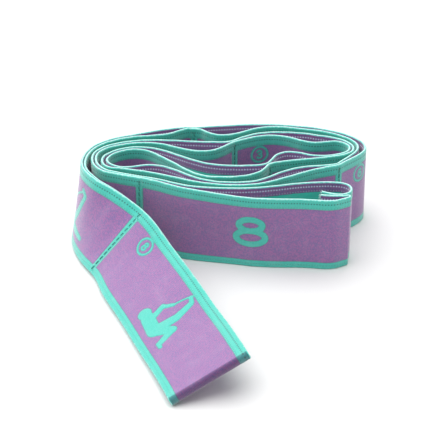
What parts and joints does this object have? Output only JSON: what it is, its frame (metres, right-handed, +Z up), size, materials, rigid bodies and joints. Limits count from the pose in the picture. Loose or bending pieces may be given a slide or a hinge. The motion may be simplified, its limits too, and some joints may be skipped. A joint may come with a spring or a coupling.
{
  "type": "stretching strap",
  "caption": "Elastic multi-loop stretching strap of woven webbing, wound into a coil on its edge with its free end laid forward.",
  "frame": {"origin": "middle of the footprint, on the surface that the strap stands on", "axes": "+Z up, +X along the coil to its right end, -Y towards the free end"},
  "size_m": [0.1468, 0.1922, 0.0404],
  "materials": {
    "webbing": "two-colour woven elastic band, lilac field with mint borders",
    "thread": "matt polyester sewing thread, teal"
  },
  "bodies": {
    "coil": {"loop_3_face": "webbing", "loop_3_number": "webbing", "loop_4_face": "webbing", "loop_4_number": "webbing", "loop_5_face": "webbing", "loop_5_number": "webbing", "loop_6_face": "webbing", "loop_6_number": "webbing", "loop_7_face": "webbing", "loop_7_number": "webbing", "seam_78_face_thread": "thread", "seam_78_number_thread": "thread", "seam_67_face_thread": "thread", "seam_67_number_thread": "thread", "seam_56_face_thread": "thread", "seam_56_number_thread": "thread", "seam_45_face_thread": "thread", "seam_45_number_thread": "thread", "seam_34_face_thread": "thread", "seam_34_number_thread": "thread", "seam_23_face_thread": "thread", "seam_23_number_thread": "thread"},
    "loop_8": {"loop_8_face": "webbing", "loop_8_number": "webbing", "loop_8_face_hem": "webbing", "loop_8_number_hem": "webbing", "loop_8_corner_fold": "webbing", "closing_seam_face_thread": "thread", "closing_seam_number_thread": "thread"},
    "loop_2": {"loop_2_face": "webbing", "loop_2_number": "webbing", "seam_12_face_thread": "thread", "seam_12_number_thread": "thread"},
    "loop_1": {"loop_1_face": "webbing", "loop_1_number": "webbing", "loop_1_end_fold": "webbing"}
  },
  "joints": [
    {"name": "loop_8_swing", "type": "hinge", "parent": "coil", "child": "loop_8", "pos_m": [-0.0364, 0.0388, 0.02], "axis": [0, 0, -1], "range_deg": [0, 30]},
    {"name": "loop_2_unwrap", "type": "hinge", "parent": "coil", "child": "loop_2", "pos_m": [-0.01492, 0.09113, 0.02], "axis": [0, 0, -1], "range_deg": [0, 35]},
    {"name": "loop_1_lift", "type": "hinge", "parent": "loop_2", "child": "loop_1", "pos_m": [-0.04784, 0.01607, 0.01542], "axis": [-0.6561, -0.2053, -0.7262], "range_deg": [0, 60]}
  ]
}
